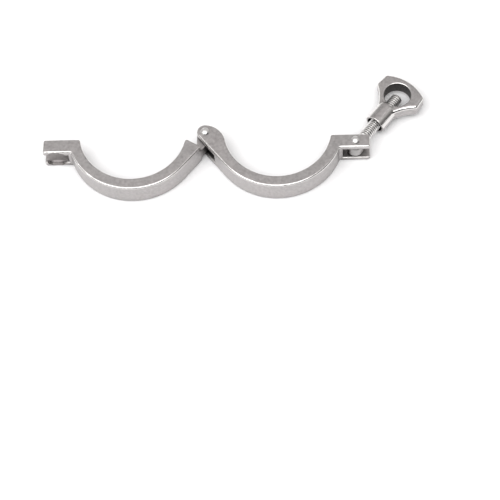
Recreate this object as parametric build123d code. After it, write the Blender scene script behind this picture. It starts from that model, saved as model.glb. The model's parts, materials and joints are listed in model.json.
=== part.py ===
from build123d import *
import math
import os

# Sanitary hinged clamp for a 77.5 mm ferrule, laid open as it rests on a table.
# Two cast half rings share one hinge pin. A swing bolt with a wing nut hangs in the
# fork of one half ring and drops into the open slot of the other.
# Origin: axis of the forked half ring, at mid height of the V groove.
# X runs along the opened clamp, Z is up. All sizes are in millimetres.

# Half rings
lip_radius = 35.5
groove_depth = 4.25
groove_mouth = 10.4
groove_flank_angle = 20.0
groove_wall = 3.85
jaw_height = 17.4
mating_setback = 5.0
casting_edge_radius = 1.3
slot_edge_radius = 0.6
corner_radius = 1.6

# Hinge, offset outwards from the ring's outer face
hinge_offset = 4.6
hinge_drop = 1.0
ear_radius = 5.5
ear_flank_radius = 15.0
ear_slot_depth = 6.2
ear_slot_play = 0.2
tongue_height = 8.6
shoulder_angle = 122.0
shoulder_distance = 10.8
hinge_pin_radius = 2.5

# Lugs. The bolt's line is offset outwards from the ring's outer face and the lugs overhang it
lug_depth = 10.1
fork_lug_overhang = 9.6
slot_lug_overhang = 8.2
lug_web = 3.2
bolt_pin_offset = 8.0
bolt_pin_setback = 4.8
bolt_pin_radius = 2.3
seat_depth = 2.0
seat_play = 1.2

# Rivets, domed above and peened flush in a counterbore below
rivet_head_radius = 3.1
rivet_head_height = 1.7
rivet_tail_height = 1.0
rivet_tail_play = 0.2

# Swing bolt, measured from its pin
shank_radius = 4.0
shank_reach = 47.4
shank_chamfer = 0.9
shank_slot_play = 0.5
eye_radius = 5.4
eye_height = 10.0
eye_edge_radius = 2.6
eye_play = 0.3

# Wing nut, measured along the bolt from the open end of its barrel
nut_reach = 21.4
barrel_radius = 7.0
barrel_mouth_radius = 5.7
barrel_mouth_depth = 2.5
barrel_rim_radius = 0.5
barrel_sink = 0.2
head_half_height = 4.9
root_station = 10.5
root_half_width = 5.6
flank_station = 18.5
flank_half_width = 10.1
shoulder_station = 24.9
shoulder_half_width = 16.5
shoulder_radius = 2.6
tip_station = 34.2
tip_half_width = 15.6
tip_radius = 2.4
nut_length = 38.7
finger_hole_station = 25.4
finger_hole_radius = 8.9
nut_edge_radius = 2.2
hole_edge_radius = 0.9
blend_radius = 3.0

# Fits and rest pose
pin_clearance = 0.05
thread_clearance = 0.1
bolt_turn = 51.9

half_height = jaw_height / 2
groove_radius = lip_radius + groove_depth
ring_outer_radius = groove_radius + groove_wall
hinge_reach = ring_outer_radius + hinge_offset
bolt_pin_reach = ring_outer_radius + bolt_pin_offset
fork_lug_reach = bolt_pin_reach + fork_lug_overhang
slot_lug_reach = bolt_pin_reach + slot_lug_overhang
lug_face = mating_setback + lug_depth
ear_slot_half = tongue_height / 2 + ear_slot_play
fork_slot_half = eye_height / 2 + eye_play
bolt_slot_half = shank_radius + shank_slot_play
web_end = groove_radius + lug_web
overrun = jaw_height


def polar(radius, angle):
    """A point in plan at a radius and an angle in degrees."""
    return Vector(radius * math.cos(math.radians(angle)), radius * math.sin(math.radians(angle)))


def slab(plan, half_thickness):
    """A flat plate that lies evenly about the mid plane."""
    return extrude(plan, amount=half_thickness, both=True)


def round_corners(plan, points, radius):
    """Rounds the plan's corners that lie nearest to the given points."""
    for point in points:
        plan = fillet(plan.vertices().sort_by_distance(point)[0], radius)
    return plan


def round_rims(plate, radius):
    """Rounds the upper and lower rims of a casting."""
    faces = plate.faces().sort_by(Axis.Z)
    return fillet(faces[0].edges() + faces[-1].edges(), radius)


# Plan of a half ring: its own centre at the origin, hinge on -X, lug on +X.
# The arm's outer face is the line that touches both the ring and the ear.
hinge_point = Vector(-hinge_reach, -hinge_drop)
hinge_distance = hinge_point.length
hinge_angle = 180 + math.degrees(math.atan(hinge_drop / hinge_reach))
bolt_pin_point = Vector(bolt_pin_reach, -mating_setback - bolt_pin_setback)
arm_spread = math.degrees(math.acos((ring_outer_radius - ear_radius) / hinge_distance))
arm_angle = hinge_angle + arm_spread
arm_root = polar(ring_outer_radius, arm_angle)
arm_tip = hinge_point + polar(ear_radius, arm_angle)
lip_angle = math.degrees(math.asin(mating_setback / lip_radius))
lip_point = polar(lip_radius, -lip_angle)
root_angle = math.degrees(math.asin(lug_face / ring_outer_radius))
lug_root = polar(ring_outer_radius, -root_angle)

# The ear's inner flank is an arc that touches the ear and the lip circle
flank_reach = lip_radius + ear_flank_radius
flank_offset = ear_flank_radius - ear_radius
flank_sum = flank_reach**2 + hinge_distance**2 - flank_offset**2
flank_angle = hinge_angle + math.degrees(math.acos(flank_sum / (2 * flank_reach * hinge_distance)))
flank_centre = polar(flank_reach, flank_angle)
ear_top = hinge_point - flank_centre
ear_top_angle = math.degrees(math.atan2(ear_top.Y, ear_top.X))

# The slotted half ring stops short of the ears at an oblique shoulder
shoulder_normal = polar(1, shoulder_angle)
shoulder_offset = hinge_point.dot(shoulder_normal) - shoulder_distance
arm_normal = polar(1, arm_angle)
shoulder_end_angle = shoulder_angle + math.degrees(math.acos(shoulder_offset / lip_radius))
shoulder_inner = polar(lip_radius, shoulder_end_angle)
corner_factor = arm_normal.X * shoulder_normal.Y - arm_normal.Y * shoulder_normal.X
shoulder_outer = Vector(
    (ring_outer_radius * shoulder_normal.Y - shoulder_offset * arm_normal.Y) / corner_factor,
    (shoulder_offset * arm_normal.X - ring_outer_radius * shoulder_normal.X) / corner_factor,
)
tongue_back = hinge_point + Vector(ear_radius, 0)
tongue_root = Vector(
    tongue_back.X, (shoulder_offset - shoulder_normal.X * tongue_back.X) / shoulder_normal.Y
)


def lug_side(lug_reach):
    """Edges from the lip's end round the lug and the outer arc to the arm's root."""
    inner_corner = Vector(lug_reach, -mating_setback)
    outer_corner = Vector(lug_reach, -lug_face)
    return [
        Line(lip_point, inner_corner),
        Line(inner_corner, outer_corner),
        Line(outer_corner, lug_root),
        CenterArc((0, 0), ring_outer_radius, -root_angle, arm_angle - 360 + root_angle),
    ]


def lug_corners(lug_reach):
    """The corners of a lug that the casting rounds."""
    return [lip_point, Vector(lug_reach, -mating_setback), Vector(lug_reach, -lug_face), lug_root]


def v_groove():
    """The V groove that grips the ferrule rims, turned about the ring's axis."""
    slope = math.tan(math.radians(groove_flank_angle))
    inner_radius = lip_radius - mating_setback
    inner_half = groove_mouth / 2 + mating_setback * slope
    floor_half = groove_mouth / 2 - (groove_radius - lip_radius) * slope
    profile = Polyline(
        (inner_radius, -inner_half),
        (groove_radius, -floor_half),
        (groove_radius, floor_half),
        (inner_radius, inner_half),
        close=True,
    )
    return revolve(Plane.XZ * make_face(profile), Axis.Z)


def block(low_x, high_x, half_z):
    """A cutting block that runs past the casting in Y."""
    width = high_x - low_x
    length = 4 * ring_outer_radius
    return Pos((low_x + high_x) / 2, 0) * Box(width, length, 2 * half_z)


def round_slot_rims(jaw, slot_half, low_x, high_x):
    """Rounds the rims that a flat slot leaves on the outside of a casting."""
    reach = slot_edge_radius / 2

    def is_rim(edge):
        box = edge.bounding_box()
        flat = abs(box.max.Z - box.min.Z) < reach
        level = abs(abs(edge.center().Z) - slot_half) < reach
        return flat and level and low_x + reach < edge.center().X < high_x - reach

    return fillet(jaw.edges().filter_by(is_rim), slot_edge_radius)


def rivet_hole(point, radius):
    """A through hole with the counterbore for the rivet's tail."""
    tail_z = -half_height + rivet_tail_height / 2
    hole = Cylinder(radius + pin_clearance, 2 * jaw_height)
    seat = Pos(0, 0, tail_z) * Cylinder(rivet_head_radius + rivet_tail_play, rivet_tail_height)
    return Pos(point) * (hole + seat)


def rivet(point, radius):
    """A hinge rivet with a domed head and a flush tail."""
    dome_radius = (rivet_head_radius**2 + rivet_head_height**2) / (2 * rivet_head_height)
    head_z = half_height + rivet_head_height
    dome = Pos(0, 0, head_z - dome_radius) * Sphere(dome_radius)
    head = Pos(0, 0, head_z - rivet_head_height / 2) * Cylinder(rivet_head_radius, rivet_head_height)
    tail = Pos(0, 0, -half_height + rivet_tail_height / 2) * Cylinder(rivet_head_radius, rivet_tail_height)
    return Pos(point) * (Cylinder(radius, jaw_height) + tail + (head & dome))


def fork_jaw():
    """Half ring with two hinge ears and a forked lug, one casting."""
    edges = lug_side(fork_lug_reach) + [
        Line(arm_root, arm_tip),
        CenterArc(hinge_point, ear_radius, arm_angle, ear_top_angle - arm_angle),
        CenterArc(flank_centre, ear_flank_radius, ear_top_angle, flank_angle - 180 - ear_top_angle),
        CenterArc((0, 0), lip_radius, flank_angle, 360 - lip_angle - flank_angle),
    ]
    plan = round_corners(make_face(edges), lug_corners(fork_lug_reach), corner_radius)
    jaw = round_rims(slab(plan, half_height), casting_edge_radius)
    far_left = -hinge_reach - overrun
    far_right = fork_lug_reach + overrun
    ear_slot_floor = -hinge_reach + ear_slot_depth
    jaw -= v_groove()
    jaw -= block(far_left, ear_slot_floor, ear_slot_half)
    jaw = round_slot_rims(jaw, ear_slot_half, far_left, ear_slot_floor)
    jaw -= block(web_end, far_right, fork_slot_half)
    jaw = round_slot_rims(jaw, fork_slot_half, web_end, far_right)
    jaw -= rivet_hole(hinge_point, hinge_pin_radius)
    jaw -= rivet_hole(bolt_pin_point, bolt_pin_radius)
    return jaw


def slot_jaw():
    """Half ring with a hinge tongue and an open slotted lug, one casting."""
    edges = lug_side(slot_lug_reach) + [
        Line(arm_root, shoulder_outer),
        Line(shoulder_outer, shoulder_inner),
        CenterArc((0, 0), lip_radius, shoulder_end_angle, 360 - lip_angle - shoulder_end_angle),
    ]
    corners = lug_corners(slot_lug_reach) + [shoulder_outer, shoulder_inner]
    plan = round_corners(make_face(edges), corners, corner_radius)
    jaw = round_rims(slab(plan, half_height), casting_edge_radius)
    tongue_edges = [
        Line(arm_root, arm_tip),
        CenterArc(hinge_point, ear_radius, arm_angle, -arm_angle),
        Line(tongue_back, tongue_root),
        Line(tongue_root, arm_root),
    ]
    jaw += slab(make_face(tongue_edges), tongue_height / 2)
    far_right = slot_lug_reach + overrun
    jaw -= v_groove()
    jaw -= block(web_end, far_right, bolt_slot_half)
    jaw = round_slot_rims(jaw, bolt_slot_half, web_end, far_right)
    seat = Rot(90, 0, 0) * Cylinder(barrel_radius + seat_play, 2 * seat_depth)
    jaw -= Pos(bolt_pin_reach, -lug_face) * seat
    jaw -= Pos(hinge_point) * Cylinder(hinge_pin_radius + pin_clearance, jaw_height)
    return jaw


def swing_bolt():
    """Eye bolt along +X from its pin; the shank is drawn at its thread's crest."""
    eye = Cylinder(eye_radius, eye_height)
    eye = fillet(eye.edges().filter_by(GeomType.CIRCLE), eye_edge_radius)
    shank = Pos(shank_reach / 2, 0) * Rot(0, 90, 0) * Cylinder(shank_radius, shank_reach)
    shank = chamfer(shank.edges().sort_by(Axis.X)[-1], shank_chamfer)
    return eye + shank - Cylinder(bolt_pin_radius + pin_clearance, jaw_height)


def nut_head():
    """Flat head of the wing nut: hollow flanks, two blunt wings and a curved far edge."""
    root = Vector(root_station, root_half_width)
    shoulder = Vector(shoulder_station, shoulder_half_width)
    tip = Vector(tip_station, tip_half_width)
    side = [
        ThreePointArc(root, (flank_station, flank_half_width), shoulder),
        Line(shoulder, tip),
    ]
    far_edge = ThreePointArc(tip, (nut_length, 0), (tip.X, -tip.Y))
    near_edge = Line(root, (root.X, -root.Y))
    plan = make_face(side + [mirror(edge, Plane.XZ) for edge in side] + [far_edge, near_edge])
    for point, radius in ((shoulder, shoulder_radius), (tip, tip_radius)):
        plan = round_corners(plan, [point, Vector(point.X, -point.Y)], radius)
    head = round_rims(slab(plan, head_half_height), nut_edge_radius)
    hole = Pos(finger_hole_station, 0) * Cylinder(finger_hole_radius, 4 * head_half_height)
    head -= hole
    circles = head.edges().filter_by(GeomType.CIRCLE)
    rims = circles.filter_by(lambda edge: abs(edge.radius - finger_hole_radius) < pin_clearance)
    return fillet(rims, hole_edge_radius)


def wing_nut():
    """Cast wing nut along +X: round tapped barrel that blends into a winged head."""
    along = Rot(0, 90, 0)
    length = finger_hole_station - finger_hole_radius - hole_edge_radius
    barrel = Pos(length / 2, 0) * along * Cylinder(barrel_radius, length)
    far_rim = barrel.edges().filter_by(GeomType.CIRCLE).sort_by(Axis.X)[-1]
    barrel = fillet(far_rim, barrel_radius - head_half_height + barrel_sink)
    barrel = fillet(barrel.edges().filter_by(GeomType.CIRCLE).sort_by(Axis.X)[0], barrel_rim_radius)
    nut = nut_head() + barrel
    seams = nut.edges().filter_by(GeomType.BSPLINE)
    seams = seams.filter_by(lambda edge: 0 < edge.center().X < length + barrel_sink)
    nut = fillet(seams, blend_radius)
    bore = Pos(finger_hole_station / 2, 0) * along
    nut -= bore * Cylinder(shank_radius + thread_clearance, finger_hole_station)
    return nut - along * Cylinder(barrel_mouth_radius, 2 * barrel_mouth_depth)


slot_pose = Pos(-2 * hinge_reach, 0)
bolt_pose = Pos(bolt_pin_point) * Rot(0, 0, bolt_turn)

nodes = {
    "fork_jaw": fork_jaw(),
    "slot_jaw": slot_pose * mirror(slot_jaw(), Plane.YZ),
    "hinge_pin": rivet(hinge_point, hinge_pin_radius),
    "bolt_pin": rivet(bolt_pin_point, bolt_pin_radius),
    "swing_bolt": bolt_pose * swing_bolt(),
    "wing_nut": bolt_pose * Pos(nut_reach, 0) * wing_nut(),
}

os.makedirs("parts", exist_ok=True)
for name, shape in nodes.items():
    export_step(shape, f"parts/{name}.step")
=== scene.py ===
import json
import math

import bmesh
import bpy
from mathutils import Matrix, Vector


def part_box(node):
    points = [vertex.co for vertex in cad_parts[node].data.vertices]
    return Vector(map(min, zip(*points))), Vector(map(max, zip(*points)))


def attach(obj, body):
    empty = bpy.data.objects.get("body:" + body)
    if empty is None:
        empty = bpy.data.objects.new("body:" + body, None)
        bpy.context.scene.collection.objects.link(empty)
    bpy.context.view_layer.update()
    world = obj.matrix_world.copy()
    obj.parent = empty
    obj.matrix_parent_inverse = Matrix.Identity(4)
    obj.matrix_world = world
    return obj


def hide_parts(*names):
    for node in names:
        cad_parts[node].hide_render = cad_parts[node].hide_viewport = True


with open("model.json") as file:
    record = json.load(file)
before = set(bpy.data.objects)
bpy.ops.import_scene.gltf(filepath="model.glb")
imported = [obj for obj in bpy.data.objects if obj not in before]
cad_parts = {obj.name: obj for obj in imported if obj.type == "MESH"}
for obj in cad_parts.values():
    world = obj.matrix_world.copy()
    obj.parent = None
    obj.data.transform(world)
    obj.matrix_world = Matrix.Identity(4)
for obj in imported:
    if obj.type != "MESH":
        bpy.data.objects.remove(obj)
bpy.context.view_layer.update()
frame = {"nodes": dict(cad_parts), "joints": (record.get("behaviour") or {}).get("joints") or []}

nodes = frame["nodes"]
scene = bpy.context.scene
scene.view_settings.view_transform = "Standard"


# Table, light and camera
# The clamp lies flat on a white table, photographed from above and in front with a long
# lens. A wide softbox hangs over it. The room is pale behind and to the left of the table
# and dark in front and to the right, which draws a fine dark line under the bright rims.
table_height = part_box("fork_jaw")[0].z


def flat_panel(name, width, depth, place):
    """A flat rectangular sheet, such as the table top."""
    mesh = bpy.data.meshes.new(name)
    half_width, half_depth = width / 2, depth / 2
    corners = [(-half_width, -half_depth, 0), (half_width, -half_depth, 0),
               (half_width, half_depth, 0), (-half_width, half_depth, 0)]
    mesh.from_pydata(corners, [], [(0, 1, 2, 3)])
    panel = bpy.data.objects.new(name, mesh)
    panel.location = place
    scene.collection.objects.link(panel)
    return panel


def new_material(name):
    """An empty node material with its Principled shader and its node tree."""
    material = bpy.data.materials.new(name)
    material.use_nodes = True
    return material, material.node_tree, material.node_tree.nodes["Principled BSDF"]


table = flat_panel("table", 6.0, 6.0, (0, 0, table_height))
table_white, _, shader = new_material("table_white")
shader.inputs["Base Color"].default_value = (0.97, 0.97, 0.975, 1)
shader.inputs["Roughness"].default_value = 0.9
shader.inputs["Specular IOR Level"].default_value = 0.1
table.data.materials.append(table_white)

room = bpy.data.worlds.new("room")
room.use_nodes = True
scene.world = room
sky = room.node_tree
where = sky.nodes.new("ShaderNodeTexCoord")
split = sky.nodes.new("ShaderNodeSeparateXYZ")
sky.links.new(where.outputs["Generated"], split.inputs[0])


def room_tones(height, stops):
    """The room's brightness against height, from stops of height and grey."""
    ramp = sky.nodes.new("ShaderNodeValToRGB")
    sky.links.new(height, ramp.inputs["Fac"])
    elements = ramp.color_ramp.elements
    while len(elements) < len(stops):
        elements.new(0.5)
    for element, (place, grey) in zip(elements, stops):
        element.position = place
        element.color = (grey, grey * 0.98, grey * 0.97, 1)
    return ramp.outputs["Color"]


front = room_tones(split.outputs["Z"], [(0.0, 0.02), (0.60, 0.03), (0.69, 0.48), (1.0, 0.74)])
back = room_tones(split.outputs["Z"], [(0.0, 0.34), (0.30, 0.42), (0.70, 0.66), (1.0, 0.74)])
to_back = sky.nodes.new("ShaderNodeMapRange")
to_back.inputs["From Min"].default_value = -0.35
to_back.inputs["From Max"].default_value = 0.10
sky.links.new(split.outputs["Y"], to_back.inputs["Value"])
to_left = sky.nodes.new("ShaderNodeMapRange")
to_left.inputs["From Min"].default_value = 0.0
to_left.inputs["From Max"].default_value = -0.45
sky.links.new(split.outputs["X"], to_left.inputs["Value"])
lit_share = sky.nodes.new("ShaderNodeMath")
lit_share.operation = "MAXIMUM"
sky.links.new(to_back.outputs["Result"], lit_share.inputs[0])
sky.links.new(to_left.outputs["Result"], lit_share.inputs[1])
room_tone = sky.nodes.new("ShaderNodeMix")
room_tone.data_type = "RGBA"
sky.links.new(lit_share.outputs["Value"], room_tone.inputs["Factor"])
for socket, colour in (("A", front), ("B", back)):
    sky.links.new(colour, next(s for s in room_tone.inputs if s.name == socket and s.type == "RGBA"))
lit = next(s for s in room_tone.outputs if s.type == "RGBA")
sky.links.new(lit, sky.nodes["Background"].inputs["Color"])


def softbox(name, size, place, aim, power):
    """A rectangular studio light that faces a point."""
    data = bpy.data.lights.new(name, "AREA")
    data.shape = "RECTANGLE"
    data.size, data.size_y = size
    data.energy = power
    light = bpy.data.objects.new(name, data)
    light.location = place
    light.rotation_mode = "QUATERNION"
    light.rotation_quaternion = (Vector(aim) - Vector(place)).to_track_quat("-Z", "Y")
    scene.collection.objects.link(light)
    return light


softbox("softbox_above", size=(2.6, 1.55), place=(-0.2, -0.65, 1.64), aim=(0, 0, 0), power=34)

camera_data = bpy.data.cameras.new("camera")
camera_data.sensor_width = 36
camera_data.lens = 123.6
camera = bpy.data.objects.new("camera", camera_data)
camera_place = Matrix.Translation((0.0320, -0.5924, 0.9852))
camera_turn = Matrix.Rotation(math.radians(5.65), 4, "Z")
camera_tilt = Matrix.Rotation(math.radians(27.33), 4, "X")
camera_roll = Matrix.Rotation(math.radians(-6.0), 4, "Z")
camera.matrix_world = camera_place @ camera_turn @ camera_tilt @ camera_roll
scene.collection.objects.link(camera)
scene.camera = camera


# Forked half ring
# Investment cast stainless steel, tumbled to a satin grey. Its rounded edges are rubbed
# smoother than its faces and are brighter, partly as wear and partly as a painted highlight,
# and painted shade darkens its recesses. It has two hinge ears and a forked lug for the bolt.


def new_group(name, inputs, outputs):
    """A shader node group with named sockets and its own input and output nodes."""
    group = bpy.data.node_groups.new(name, "ShaderNodeTree")
    for socket, kind, value in inputs:
        made = group.interface.new_socket(socket, in_out="INPUT", socket_type=kind)
        made.default_value = value
    for socket, kind in outputs:
        group.interface.new_socket(socket, in_out="OUTPUT", socket_type=kind)
    entry = group.nodes.new("NodeGroupInput")
    leave = group.nodes.new("NodeGroupOutput")
    return group, entry, leave


def math_node(tree, operation, first, second=None, clamp=False):
    """A maths node with sockets or numbers for its inputs, and its result."""
    node = tree.nodes.new("ShaderNodeMath")
    node.operation = operation
    node.use_clamp = clamp
    for socket, value in zip(node.inputs, (first, second)):
        if isinstance(value, (int, float)):
            socket.default_value = value
        elif value is not None:
            tree.links.new(value, socket)
    return node.outputs[0]


def noise(tree, place, scale, detail, roughness=0.55):
    """A noise texture's value, with scale in waves per metre."""
    node = tree.nodes.new("ShaderNodeTexNoise")
    node.inputs["Scale"].default_value = scale
    node.inputs["Detail"].default_value = detail
    node.inputs["Roughness"].default_value = roughness
    tree.links.new(place, node.inputs["Vector"])
    return node.outputs["Fac"]


# Where an edge is rubbed and gets a painted highlight: 1 on the rounds between level faces and upright
# ones
rubbed_and_highlit_edge, entry, leave = new_group(
    "rubbed_and_highlit_edge",
    [("Level", "NodeSocketFloat", 0.97), ("Upright", "NodeSocketFloat", 0.12)],
    [("Mask", "NodeSocketFloat")],
)
facing = rubbed_and_highlit_edge.nodes.new("ShaderNodeTexCoord")
normal_parts = rubbed_and_highlit_edge.nodes.new("ShaderNodeSeparateXYZ")
rubbed_and_highlit_edge.links.new(facing.outputs["Normal"], normal_parts.inputs[0])
steepness = math_node(rubbed_and_highlit_edge, "ABSOLUTE", normal_parts.outputs["Z"])
off_level = math_node(rubbed_and_highlit_edge, "SUBTRACT", entry.outputs["Level"], steepness)
off_upright = math_node(rubbed_and_highlit_edge, "SUBTRACT", steepness, entry.outputs["Upright"])
onset = 8.0
past_level = math_node(rubbed_and_highlit_edge, "MULTIPLY", off_level, onset, clamp=True)
past_upright = math_node(rubbed_and_highlit_edge, "MULTIPLY", off_upright, onset, clamp=True)
mask = math_node(rubbed_and_highlit_edge, "MULTIPLY", past_level, past_upright)
rubbed_and_highlit_edge.links.new(mask, leave.inputs["Mask"])

# Skin of a tumbled casting: fine pits, a mottled grey and a slow warm drift
tumbled_skin, entry, leave = new_group(
    "tumbled_skin",
    [("Grain", "NodeSocketFloat", 2600.0), ("Mottle", "NodeSocketFloat", 430.0)],
    [("Grey", "NodeSocketFloat"), ("Drift", "NodeSocketFloat"), ("Pits", "NodeSocketFloat")],
)
where = tumbled_skin.nodes.new("ShaderNodeTexCoord").outputs["Object"]
for output, socket, detail in (("Pits", "Grain", 3), ("Grey", "Mottle", 5)):
    pattern = tumbled_skin.nodes.new("ShaderNodeTexNoise")
    pattern.inputs["Detail"].default_value = detail
    tumbled_skin.links.new(where, pattern.inputs["Vector"])
    tumbled_skin.links.new(entry.outputs[socket], pattern.inputs["Scale"])
    spread = tumbled_skin.nodes.new("ShaderNodeMapRange")
    spread.inputs["From Min"].default_value = 0.25
    spread.inputs["From Max"].default_value = 0.75
    tumbled_skin.links.new(pattern.outputs["Fac"], spread.inputs["Value"])
    tumbled_skin.links.new(spread.outputs["Result"], leave.inputs[output])
tumbled_skin.links.new(noise(tumbled_skin, where, 34.0, 2), leave.inputs["Drift"])


def blend_colours(tree, share, low, high):
    """A colour between two, by a share from 0 to 1."""
    node = tree.nodes.new("ShaderNodeMix")
    node.data_type = "RGBA"
    tree.links.new(share, node.inputs["Factor"])
    for socket, value in (("A", low), ("B", high)):
        target = next(s for s in node.inputs if s.name == socket and s.type == "RGBA")
        if isinstance(value, tuple):
            target.default_value = (*value, 1)
        else:
            tree.links.new(value, target)
    return next(s for s in node.outputs if s.type == "RGBA")


def cast_steel(name, mottle):
    """Satin tumbled casting: mottled grey, smooth edges brightened partly as wear and partly as painted
    highlight, and painted shade in the recesses.
    """
    material, tree, shader = new_material(name)
    skin = tree.nodes.new("ShaderNodeGroup")
    skin.node_tree = tumbled_skin
    skin.inputs["Mottle"].default_value = mottle
    edge = tree.nodes.new("ShaderNodeGroup")
    edge.node_tree = rubbed_and_highlit_edge
    grey = blend_colours(tree, skin.outputs["Grey"], (0.28, 0.269, 0.264), (0.61, 0.591, 0.581))
    warm = blend_colours(tree, skin.outputs["Drift"], (0.52, 0.480, 0.482), (0.42, 0.412, 0.414))
    mixed = blend_colours(tree, skin.outputs["Pits"], grey, warm)
    # Wear and painted highlight: the base colour turns light on surfaces leaning between level and upright
    worn_and_highlit = blend_colours(tree, edge.outputs["Mask"], mixed, (0.78, 0.765, 0.75))
    # Painted shade: the base colour goes near black in narrow recesses, as found by ambient occlusion
    occlusion_probe = tree.nodes.new("ShaderNodeAmbientOcclusion")
    occlusion_probe.samples = 8
    occlusion_probe.inputs["Distance"].default_value = 0.011
    unshaded_share = tree.nodes.new("ShaderNodeMapRange")
    unshaded_share.inputs["From Min"].default_value = 0.26
    unshaded_share.inputs["From Max"].default_value = 0.58
    tree.links.new(occlusion_probe.outputs["AO"], unshaded_share.inputs["Value"])
    shaded_colour = blend_colours(tree, unshaded_share.outputs["Result"], (0.07, 0.066, 0.066), worn_and_highlit)
    tree.links.new(shaded_colour, shader.inputs["Base Color"])
    dull = math_node(tree, "MULTIPLY_ADD", skin.outputs["Grey"], 0.16)
    dull.node.inputs[2].default_value = 0.30
    eased = math_node(tree, "MULTIPLY", edge.outputs["Mask"], 0.24)
    tree.links.new(math_node(tree, "SUBTRACT", dull, eased), shader.inputs["Roughness"])
    bump = tree.nodes.new("ShaderNodeBump")
    bump.inputs["Strength"].default_value = 0.5
    bump.inputs["Distance"].default_value = 0.00006
    tree.links.new(skin.outputs["Pits"], bump.inputs["Height"])
    tree.links.new(bump.outputs["Normal"], shader.inputs["Normal"])
    shader.inputs["Metallic"].default_value = 1.0
    return material


def finish_node(name, material):
    """Gives a CAD node its material."""
    mesh = nodes[name].data
    mesh.materials.clear()
    mesh.materials.append(material)


jaw_steel = cast_steel("jaw_cast_steel", 620.0)
finish_node("fork_jaw", jaw_steel)


# Slotted half ring
# The other casting, from the same steel and the same tumbling drum. It has a hinge
# tongue between the ears and an open slotted lug with a round seat for the nut.
finish_node("slot_jaw", jaw_steel)


# Hinge rivet and bolt rivet
# Bright stainless rod, headed by a spinning tool to a low dome above and peened into a
# counterbore below. The domes are bright, with faint scuffs.


def rivet_steel(name):
    """Bright turned stainless with faint scuffs."""
    material, tree, shader = new_material(name)
    where = tree.nodes.new("ShaderNodeTexCoord").outputs["Object"]
    scuffs = noise(tree, where, 900.0, 4)
    colour = blend_colours(tree, scuffs, (0.80, 0.79, 0.78), (0.92, 0.91, 0.90))
    tree.links.new(colour, shader.inputs["Base Color"])
    rough = math_node(tree, "MULTIPLY_ADD", scuffs, 0.14)
    rough.node.inputs[2].default_value = 0.22
    tree.links.new(rough, shader.inputs["Roughness"])
    bump = tree.nodes.new("ShaderNodeBump")
    bump.inputs["Strength"].default_value = 0.35
    bump.inputs["Distance"].default_value = 0.00008
    tree.links.new(scuffs, bump.inputs["Height"])
    tree.links.new(bump.outputs["Normal"], shader.inputs["Normal"])
    shader.inputs["Metallic"].default_value = 1.0
    return material


bright_rivet = rivet_steel("rivet_bright_steel")
finish_node("hinge_pin", bright_rivet)
finish_node("bolt_pin", bright_rivet)


# Swing bolt
# Forged stainless eye bolt. The thread is cut from near the eye to the chamfered tip; its crests
# carry a painted highlight and its roots painted shade. It turns on the rivet in the fork.
bolt_pin = Vector(next(j for j in frame["joints"] if j["name"] == "bolt_swing")["pos_m"])
bolt_axis = Vector(next(j for j in frame["joints"] if j["name"] == "nut_spin")["axis"])
bolt_place = Matrix.Translation(bolt_pin) @ Matrix.Rotation(math.atan2(bolt_axis.y, bolt_axis.x), 4, "Z")
thread_pitch = 0.0015
thread_depth = 0.00085
crest_radius = 0.0040
thread_start = 0.0085
crest_share = 1 / 7
flank_share = 1 / 5
shank_end = 0.0474
tip_chamfer = 0.0009
eye_radius = 0.0054
eye_half_height = 0.0050
eye_round = 0.0026
eye_bore = 0.00235


def grid_faces(mesh, rows, closed_rows=False):
    """Quads between rings of vertices that have the same count."""
    pairs = list(zip(rows, rows[1:]))
    if closed_rows:
        pairs.append((rows[-1], rows[0]))
    for low, high in pairs:
        for here in range(len(low)):
            after = (here + 1) % len(low)
            mesh.faces.new((low[here], low[after], high[after], high[here]))


def thread_radius(station, turn_share):
    """The shank's radius at a distance from the pin and a share of a full turn."""
    phase = (station / thread_pitch - turn_share) % 1
    from_crest = min(phase, 1 - phase)
    cut = min(max((from_crest - crest_share) / flank_share, 0), 1)
    begun = min(max((station - thread_start) / thread_pitch, 0), 1)
    chamfered = crest_radius - tip_chamfer + (shank_end - station)
    return min(crest_radius - thread_depth * cut * begun, chamfered)


def threaded_shank(mesh):
    """The round shank with its helical thread, from inside the eye to the tip."""
    around, per_pitch = 56, 12
    start = eye_radius / 2
    count = round((shank_end - start) / thread_pitch * per_pitch)
    rows = []
    for step in range(count + 1):
        station = start + (shank_end - start) * step / count
        row = []
        for place in range(around):
            angle = 2 * math.pi * place / around
            radius = thread_radius(station, place / around)
            row.append(mesh.verts.new((station, radius * math.cos(angle), radius * math.sin(angle))))
        rows.append(row)
    grid_faces(mesh, rows)
    mesh.faces.new(rows[0])
    mesh.faces.new(rows[-1])


def rounded_eye(mesh):
    """The eye: a bored drum with generous rounds, turned about the rivet."""
    round_steps = 12
    profile = [(eye_bore, -eye_half_height)]
    for side in (-1, 1):
        for step in range(round_steps + 1):
            share = step / round_steps
            angle = side * math.pi / 2 * (1 - share if side < 0 else share)
            reach = eye_radius - eye_round + eye_round * math.cos(angle)
            level = side * (eye_half_height - eye_round) + eye_round * math.sin(angle)
            profile.append((reach, level))
    profile.append((eye_bore, eye_half_height))
    around = 72
    angles = [2 * math.pi * place / around for place in range(around)]
    rows = []
    for radius, level in profile:
        rows.append([mesh.verts.new((radius * math.cos(a), radius * math.sin(a), level)) for a in angles])
    grid_faces(mesh, rows, closed_rows=True)


def mesh_object(name, build, material):
    """An object whose mesh is filled by a building function, smooth over its rounds."""
    shape = bmesh.new()
    build(shape)
    bmesh.ops.recalc_face_normals(shape, faces=shape.faces)
    mesh = bpy.data.meshes.new(name)
    shape.to_mesh(mesh)
    shape.free()
    mesh.shade_smooth()
    mesh.materials.append(material)
    made = bpy.data.objects.new(name, mesh)
    scene.collection.objects.link(made)
    return made


def eye_bolt(mesh):
    """Shank and eye together, set in place."""
    threaded_shank(mesh)
    rounded_eye(mesh)
    bmesh.ops.transform(mesh, matrix=bolt_place, verts=mesh.verts)


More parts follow.
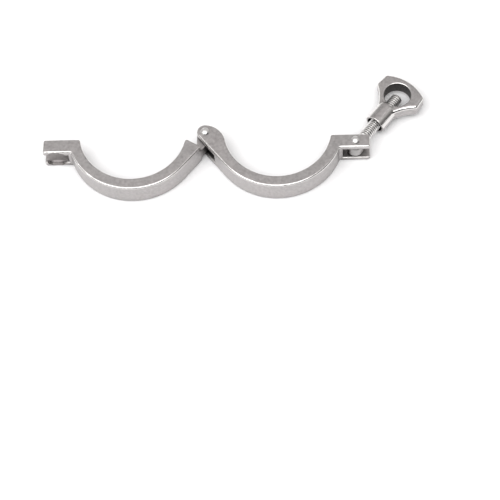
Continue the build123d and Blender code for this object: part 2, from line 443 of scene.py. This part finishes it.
def thread_steel():
    """Painted highlight on the crests over painted shade in the roots, told apart by their distance from
    the bolt's axis.
    """
    material, tree, shader = new_material("thread_steel_painted_light")
    where = tree.nodes.new("ShaderNodeTexCoord").outputs["Object"]
    offset = tree.nodes.new("ShaderNodeVectorMath")
    offset.operation = "SUBTRACT"
    offset.inputs[1].default_value = bolt_pin
    tree.links.new(where, offset.inputs[0])
    along = tree.nodes.new("ShaderNodeVectorMath")
    along.operation = "DOT_PRODUCT"
    along.inputs[1].default_value = bolt_axis
    tree.links.new(offset.outputs["Vector"], along.inputs[0])
    across = tree.nodes.new("ShaderNodeVectorMath")
    across.operation = "CROSS_PRODUCT"
    across.inputs[1].default_value = bolt_axis
    tree.links.new(offset.outputs["Vector"], across.inputs[0])
    radius = tree.nodes.new("ShaderNodeVectorMath")
    radius.operation = "LENGTH"
    tree.links.new(across.outputs["Vector"], radius.inputs[0])
    crest_highlight = tree.nodes.new("ShaderNodeMapRange")
    crest_highlight.inputs["From Min"].default_value = crest_radius - 0.95 * thread_depth
    crest_highlight.inputs["From Max"].default_value = crest_radius - 0.40 * thread_depth
    tree.links.new(radius.outputs["Value"], crest_highlight.inputs["Value"])
    threaded = tree.nodes.new("ShaderNodeMapRange")
    threaded.inputs["From Min"].default_value = thread_start - thread_pitch
    threaded.inputs["From Max"].default_value = thread_start
    tree.links.new(along.outputs["Value"], threaded.inputs["Value"])
    scuffs = noise(tree, where, 900.0, 4)
    plain = blend_colours(tree, scuffs, (0.34, 0.33, 0.325), (0.50, 0.49, 0.485))
    # Painted highlight and shade: light crests and dark roots of the thread
    cut = blend_colours(tree, crest_highlight.outputs["Result"], (0.30, 0.292, 0.288), (0.97, 0.96, 0.95))
    colour = blend_colours(tree, threaded.outputs["Result"], plain, cut)
    tree.links.new(colour, shader.inputs["Base Color"])
    rough = math_node(tree, "MULTIPLY_ADD", scuffs, 0.16)
    rough.node.inputs[2].default_value = 0.32
    tree.links.new(rough, shader.inputs["Roughness"])
    shader.inputs["Metallic"].default_value = 1.0
    return material


threaded_bolt = mesh_object("threaded_swing_bolt", eye_bolt, thread_steel())
threaded_bolt.data.set_sharp_from_angle(angle=math.radians(35))
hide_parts("swing_bolt")
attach(threaded_bolt, "bolt")


# Wing nut
# Investment cast like the half rings, with a round tapped barrel and a finger hole
# between two blunt wings. The hole's wall is painted dark as shade, with a grain, and made rougher.
finger_hole_reach = 0.0468
finger_hole = bolt_pin + bolt_axis * finger_hole_reach
finger_hole_radius = 0.0089
wall_skin = 0.0001
wall_fade = 0.0003
raw_roughness = 0.6


def near_upright_axis(tree, axis_point, radius, fade):
    """A mask that is 1 within a radius of an upright axis and fades out past it."""
    where = tree.nodes.new("ShaderNodeTexCoord").outputs["Object"]
    offset = tree.nodes.new("ShaderNodeVectorMath")
    offset.operation = "SUBTRACT"
    offset.inputs[1].default_value = axis_point
    tree.links.new(where, offset.inputs[0])
    level = tree.nodes.new("ShaderNodeVectorMath")
    level.operation = "MULTIPLY"
    level.inputs[1].default_value = (1, 1, 0)
    tree.links.new(offset.outputs["Vector"], level.inputs[0])
    distance = tree.nodes.new("ShaderNodeVectorMath")
    distance.operation = "LENGTH"
    tree.links.new(level.outputs["Vector"], distance.inputs[0])
    ramp = tree.nodes.new("ShaderNodeMapRange")
    for socket, value in (("From Min", radius), ("From Max", radius + fade), ("To Min", 1), ("To Max", 0)):
        ramp.inputs[socket].default_value = value
    tree.links.new(distance.outputs["Value"], ramp.inputs["Value"])
    return ramp.outputs["Result"]


def paint_shade_inside(material, mask):
    """Paints dark shade with a grain into a material and makes it rougher where a mask is 1."""
    tree = material.node_tree
    shader = tree.nodes["Principled BSDF"]
    where = tree.nodes.new("ShaderNodeTexCoord").outputs["Object"]
    grain = noise(tree, where, 1500.0, 4)
    # Painted shade: a dark grainy colour on the finger hole's wall
    painted_shade_grain = blend_colours(tree, grain, (0.05, 0.046, 0.045), (0.17, 0.162, 0.16))
    shaded_colour = shader.inputs["Base Color"].links[0].from_socket
    tree.links.new(blend_colours(tree, mask, shaded_colour, painted_shade_grain), shader.inputs["Base Color"])
    smoothed = shader.inputs["Roughness"].links[0].from_socket
    rougher = math_node(tree, "SUBTRACT", raw_roughness, smoothed)
    rough = math_node(tree, "MULTIPLY_ADD", rougher, mask)
    tree.links.new(smoothed, rough.node.inputs[2])
    tree.links.new(rough, shader.inputs["Roughness"])


nut_steel = cast_steel("nut_cast_steel", 580.0)
wall_reach = finger_hole_radius + wall_skin
hole_shade_mask = near_upright_axis(nut_steel.node_tree, finger_hole, wall_reach, wall_fade)
paint_shade_inside(nut_steel, hole_shade_mask)
finish_node("wing_nut", nut_steel)
